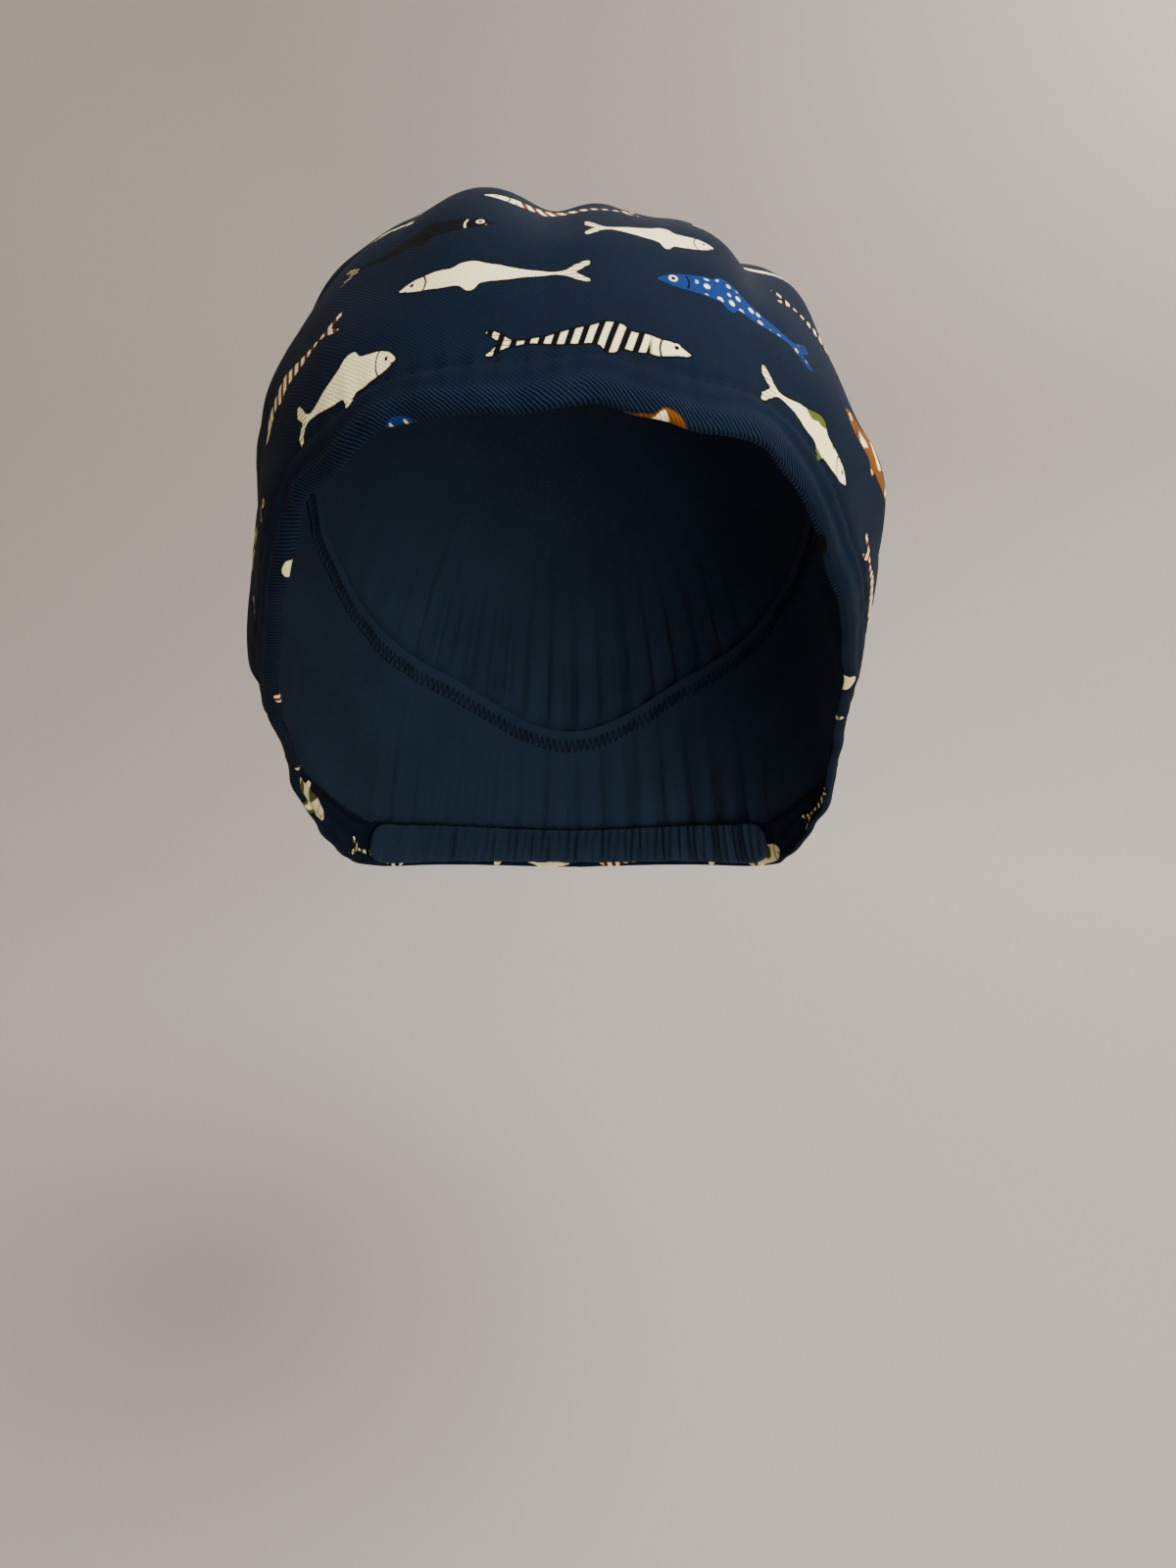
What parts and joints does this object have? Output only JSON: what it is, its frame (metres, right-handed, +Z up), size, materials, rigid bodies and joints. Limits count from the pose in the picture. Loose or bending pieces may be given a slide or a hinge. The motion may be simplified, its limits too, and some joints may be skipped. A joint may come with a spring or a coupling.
{
  "type": "scrub cap",
  "caption": "Worn scrub cap in soft navy twill with a small fish print, a tall stitched band, a gathered crown and an elasticated nape.",
  "frame": {"origin": "inside top of the cap, straight above the middle of the head, where the head holds it", "axes": "+Z up, the wearer faces -Y, +X is to the right in a view from the front"},
  "size_m": [0.1761, 0.2106, 0.2144],
  "materials": {
    "printed_twill_band": "matt",
    "printed_twill_crown": "matt",
    "elastic_casing": "matt"
  },
  "bodies": {
    "root": {"side_band": "printed_twill_band", "crown": "printed_twill_crown", "nape_casing": "elastic_casing"}
  },
  "joints": []
}
